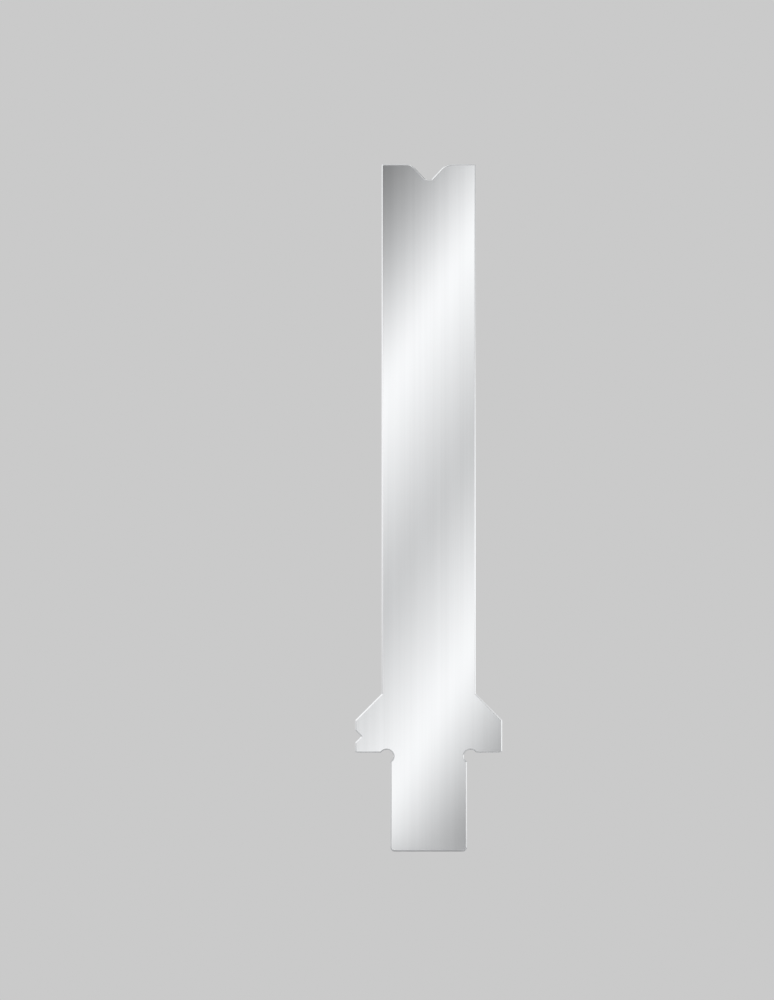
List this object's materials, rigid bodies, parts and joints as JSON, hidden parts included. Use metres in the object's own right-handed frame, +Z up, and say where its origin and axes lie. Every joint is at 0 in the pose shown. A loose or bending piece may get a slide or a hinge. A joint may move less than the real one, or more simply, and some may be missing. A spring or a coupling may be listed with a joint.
{
  "type": "press brake v die",
  "caption": "Ground steel press brake die: slim tall body with a radiused V groove along its top, a sloped seat flange with a locating notch, and a relieved clamping tang.",
  "frame": {"origin": "middle of the tang's foot, halfway along the die", "axes": "+Z up from the foot to the lands, +Y along the bend line, +X across the V, away from the notched side of the flange"},
  "size_m": [0.025, 0.1, 0.1168],
  "materials": {
    "ground_steel": "fine ground"
  },
  "bodies": {
    "root": {"v_die": "ground_steel"}
  },
  "joints": []
}
